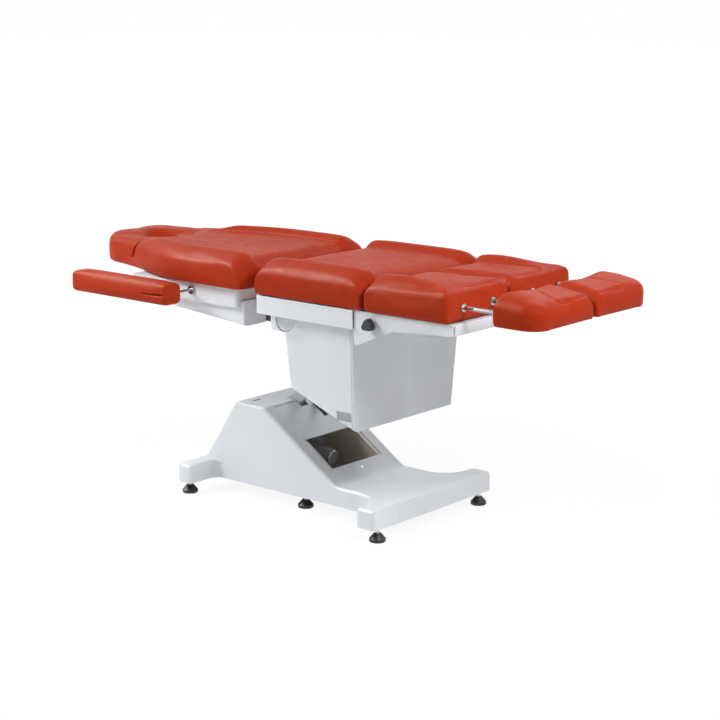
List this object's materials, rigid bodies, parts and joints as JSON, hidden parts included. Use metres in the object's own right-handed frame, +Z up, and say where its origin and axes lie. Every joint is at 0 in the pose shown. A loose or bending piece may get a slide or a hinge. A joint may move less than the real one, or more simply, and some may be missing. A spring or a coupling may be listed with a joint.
{
  "type": "podiatry chair",
  "caption": "Electric podiatry treatment chair: lifting column on a low base, padded seat, tilting back with face hole and armrests, split leg sections with sliding foot pads.",
  "frame": {"origin": "centre of the chair's bounding box, on the floor under the levelling feet", "axes": "+X towards the foot end, +Y towards the far side as pictured, +Z up"},
  "size_m": [1.9, 0.8, 0.8003],
  "materials": {
    "white_gloss": "gloss white moulded covers",
    "red_leather": "orange red semi-gloss upholstery leather",
    "painted_steel": "dark painted steel frame",
    "white_paint": "white painted steel",
    "bright_steel": "bright turned steel",
    "chrome": "polished chrome",
    "black_rubber": "matt black levelling feet",
    "black_plastic": "satin black plastic",
    "grey_plastic": "grey actuator housing",
    "silver_plate": "plain silver"
  },
  "bodies": {
    "base": {"base_shell": "white_gloss", "base_frame": "painted_steel", "control_socket": "black_plastic", "actuator_body": "grey_plastic", "actuator_cap": "silver_plate", "arm_pin_base": "bright_steel", "link_pin_base": "bright_steel", "foot_front_near": "black_rubber", "foot_front_far": "black_rubber", "foot_middle_near": "black_rubber", "foot_middle_far": "black_rubber", "foot_rear_near": "black_rubber", "foot_rear_far": "black_rubber"},
    "ramp_cover": {"ramp_cover": "white_gloss"},
    "lift_arm": {"lift_arm": "white_paint", "crank_pin": "bright_steel"},
    "lift_link": {"lift_link": "painted_steel"},
    "actuator_rod": {"actuator_rod": "bright_steel"},
    "seat_unit": {"column_frame": "painted_steel", "column_shell": "white_gloss", "column_front_cover": "white_gloss", "rating_plate": "silver_plate", "arm_pin_column": "bright_steel", "link_pin_column": "bright_steel", "seat_frame": "painted_steel", "seat_cover": "white_gloss", "seat_pan": "white_gloss", "hand_control_hook": "chrome", "seat_cushion": "red_leather", "back_pin_near": "bright_steel", "back_pin_far": "bright_steel", "leg_pin_near": "bright_steel", "leg_pin_far": "bright_steel"},
    "back": {"back_shell": "white_gloss", "back_cushion": "red_leather", "armrest_flange_near": "chrome", "armrest_flange_far": "chrome"},
    "armrest_near": {"armrest_pad_near": "red_leather", "armrest_rod_near": "chrome"},
    "leg_near": {"leg_shell_near": "white_gloss", "leg_cushion_near": "red_leather", "rod_guide_inner_near": "chrome", "rod_guide_outer_near": "chrome"},
    "lock_knob_near": {"lock_knob_near": "black_plastic"},
    "foot_pad_near": {"foot_pad_near": "red_leather", "pad_rod_inner_near": "chrome", "pad_rod_outer_near": "chrome"},
    "armrest_far": {"armrest_pad_far": "red_leather", "armrest_rod_far": "chrome"},
    "leg_far": {"leg_shell_far": "white_gloss", "leg_cushion_far": "red_leather", "rod_guide_inner_far": "chrome", "rod_guide_outer_far": "chrome"},
    "lock_knob_far": {"lock_knob_far": "black_plastic"},
    "foot_pad_far": {"foot_pad_far": "red_leather", "pad_rod_inner_far": "chrome", "pad_rod_outer_far": "chrome"}
  },
  "joints": [
    {"name": "lift", "type": "hinge", "parent": "base", "child": "lift_arm", "pos_m": [-0.22, 0, 0.258], "axis": [0, 1, 0], "range_deg": [0, 30]},
    {"name": "lift_link", "type": "hinge", "parent": "base", "child": "lift_link", "pos_m": [-0.245, 0, 0.185], "axis": [0, 1, 0], "range_deg": [0, 30]},
    {"name": "column_level", "type": "hinge", "parent": "lift_arm", "child": "seat_unit", "pos_m": [0.08014, 0, 0.50984], "axis": [0, 1, 0], "range_deg": [-30, 0]},
    {"name": "actuator_rod", "type": "slide", "parent": "base", "child": "actuator_rod", "axis": [-0.9848, 0, 0.1736], "range_m": [0, 0.0477]},
    {"name": "ramp_cover", "type": "slide", "parent": "base", "child": "ramp_cover", "axis": [0.8299, 0, -0.5579], "range_m": [0, 0.0851]},
    {"name": "back_tilt", "type": "hinge", "parent": "seat_unit", "child": "back", "pos_m": [-0.21, 0, 0.675], "axis": [0, 1, 0], "range_deg": [0, 75]},
    {"name": "leg_near", "type": "hinge", "parent": "seat_unit", "child": "leg_near", "pos_m": [0.315, 0, 0.672], "axis": [0, 1, 0], "range_deg": [0, 75]},
    {"name": "foot_pad_near", "type": "slide", "parent": "leg_near", "child": "foot_pad_near", "axis": [-1, 0, 0], "range_m": [-0.06, 0.12]},
    {"name": "lock_knob_near", "type": "hinge", "parent": "leg_near", "child": "lock_knob_near", "pos_m": [0.38, -0.284, 0.656], "axis": [0, 1, 0], "continuous": true},
    {"name": "armrest_near", "type": "hinge", "parent": "back", "child": "armrest_near", "pos_m": [-0.367, -0.268, 0.668], "axis": [0, 1, 0], "range_deg": [0, 100]},
    {"name": "leg_far", "type": "hinge", "parent": "seat_unit", "child": "leg_far", "pos_m": [0.315, 0, 0.672], "axis": [0, 1, 0], "range_deg": [0, 75]},
    {"name": "foot_pad_far", "type": "slide", "parent": "leg_far", "child": "foot_pad_far", "axis": [-1, 0, 0], "range_m": [-0.06, 0.12]},
    {"name": "lock_knob_far", "type": "hinge", "parent": "leg_far", "child": "lock_knob_far", "pos_m": [0.38, 0.284, 0.656], "axis": [0, 1, 0], "continuous": true},
    {"name": "armrest_far", "type": "hinge", "parent": "back", "child": "armrest_far", "pos_m": [-0.367, 0.268, 0.668], "axis": [0, 1, 0], "range_deg": [0, 100]}
  ],
  "couplings": [
    {"joint": "lift_link", "follows": "lift", "ratio": 1},
    {"joint": "column_level", "follows": "lift", "ratio": -1},
    {"joint": "actuator_rod", "follows": "lift", "m_per_rad": 0.0909},
    {"joint": "ramp_cover", "follows": "lift", "m_per_rad": 0.1623}
  ]
}
